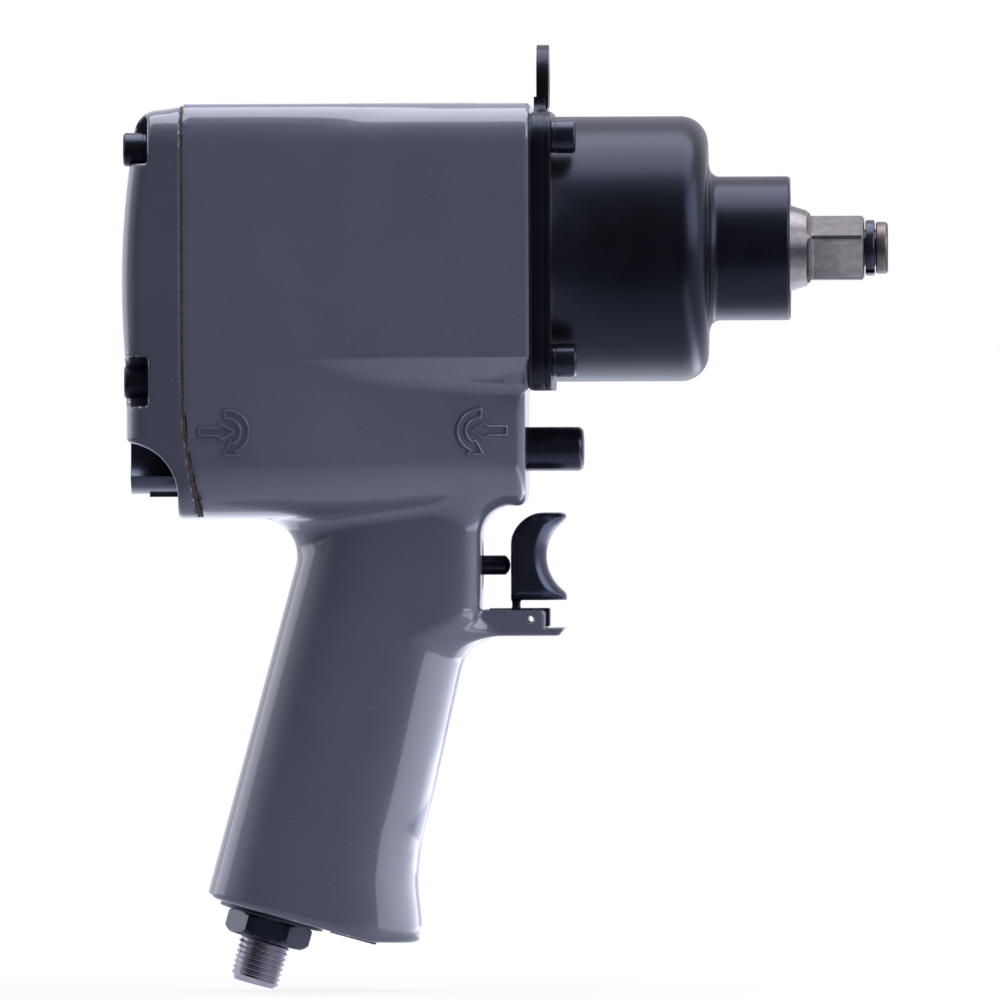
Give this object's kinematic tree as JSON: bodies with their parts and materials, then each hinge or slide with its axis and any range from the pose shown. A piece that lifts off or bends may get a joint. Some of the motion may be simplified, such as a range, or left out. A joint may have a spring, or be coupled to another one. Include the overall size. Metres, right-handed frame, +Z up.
{
  "type": "air impact wrench",
  "caption": "Pistol grip pneumatic impact wrench with a square drive, push-through reverse valve, sprung trigger, hanging eye and threaded air inlet.",
  "frame": {"origin": "centre of the square drive's shoulder on the spindle's axis", "axes": "+X out along the spindle towards the socket, +Z up from the grip towards the hanging eye, +Y to the left of a user who holds the tool"},
  "size_m": [0.1947, 0.073, 0.2401],
  "materials": {
    "anvil_steel": "ground and lightly brushed hardened steel",
    "bright_steel": "ground steel",
    "dark_steel": "oiled hardened steel",
    "black_oxide": "black oxide on steel",
    "black_paint": "satin black paint",
    "gray_paint": "gloss gray paint on an aluminium casting",
    "cast_aluminium": "machined casting",
    "plated_steel": "bright plating",
    "bronze": "machined bronze",
    "rubber": "matt rubber",
    "black_plastic": "satin moulded plastic",
    "laminate": "pressed fibre laminate",
    "fibre_gasket": "pressed fibre sheet",
    "felt": "dense felt"
  },
  "bodies": {
    "housing": {"motor_housing": "gray_paint", "rear_cover": "gray_paint", "rear_gasket": "fibre_gasket", "rear_cover_screws": "black_oxide", "rear_cover_washers": "black_oxide", "hammer_case": "black_paint", "hammer_case_screws": "black_oxide", "hammer_case_washers": "black_oxide", "hanger_plate": "black_paint", "front_gasket": "rubber", "anvil_bushing": "bronze", "front_end_plate": "cast_aluminium", "rear_end_plate": "cast_aluminium", "motor_liner": "bright_steel", "liner_pin": "bright_steel", "front_bearing": "bright_steel", "rear_bearing": "bright_steel", "reverse_bushing": "bright_steel", "trigger_pin": "bright_steel", "throttle_bushing": "bright_steel", "throttle_seat": "bronze", "throttle_spring": "bright_steel", "inlet_bushing": "black_oxide", "inlet_washer": "black_oxide", "inlet_nipple": "plated_steel", "inlet_screen": "bronze", "exhaust_deflector": "black_oxide", "exhaust_muffler": "felt"},
    "spindle": {"anvil": "anvil_steel", "socket_retainer": "black_oxide", "retainer_o_ring": "rubber"},
    "motor_shaft": {"rotor": "dark_steel", "rotor_vanes": "laminate", "bearing_inner_races": "bright_steel", "hammer_cage": "dark_steel", "hammer_pins": "bright_steel"},
    "front_hammer": {"front_hammer": "dark_steel"},
    "rear_hammer": {"rear_hammer": "dark_steel"},
    "trigger": {"trigger": "black_plastic"},
    "throttle": {"push_rod": "black_oxide", "push_rod_o_ring": "rubber", "throttle_valve": "rubber"},
    "reverse_valve": {"reverse_spool": "black_oxide", "spool_o_rings": "rubber", "regulator_screw": "black_oxide"},
    "regulator": {"regulator_knob": "black_plastic"}
  },
  "joints": [
    {"name": "spindle_turn", "type": "hinge", "parent": "housing", "child": "spindle", "pos_m": [-0.02, 0, 0], "axis": [1, 0, 0], "continuous": true},
    {"name": "motor_turn", "type": "hinge", "parent": "housing", "child": "motor_shaft", "pos_m": [-0.118, 0, 0], "axis": [1, 0, 0], "continuous": true},
    {"name": "front_hammer_rock", "type": "hinge", "parent": "motor_shaft", "child": "front_hammer", "pos_m": [-0.0447, 0, 0.021], "axis": [1, 0, 0], "range_deg": [-6, 6]},
    {"name": "rear_hammer_rock", "type": "hinge", "parent": "motor_shaft", "child": "rear_hammer", "pos_m": [-0.0545, 0, -0.021], "axis": [1, 0, 0], "range_deg": [-6, 6]},
    {"name": "trigger_pull", "type": "hinge", "parent": "housing", "child": "trigger", "pos_m": [-0.0716, 0, -0.094], "axis": [0, -1, 0], "range_deg": [0, 13], "stiffness_Nm_per_rad": 0.004, "springref_deg": -14.32},
    {"name": "throttle_slide", "type": "slide", "parent": "housing", "child": "throttle", "axis": [-1, 0, 0], "range_m": [0, 0.00338], "deforming": ["throttle_spring"]},
    {"name": "reverse_slide", "type": "slide", "parent": "housing", "child": "reverse_valve", "axis": [1, 0, 0], "range_m": [-0.01, 0]},
    {"name": "regulator_turn", "type": "hinge", "parent": "reverse_valve", "child": "regulator", "pos_m": [-0.167, 0, -0.0508], "axis": [1, 0, 0], "range_deg": [-45, 45]}
  ],
  "couplings": [
    {"joint": "trigger_pull", "follows": "throttle_slide", "rad_per_m": 67.114}
  ]
}
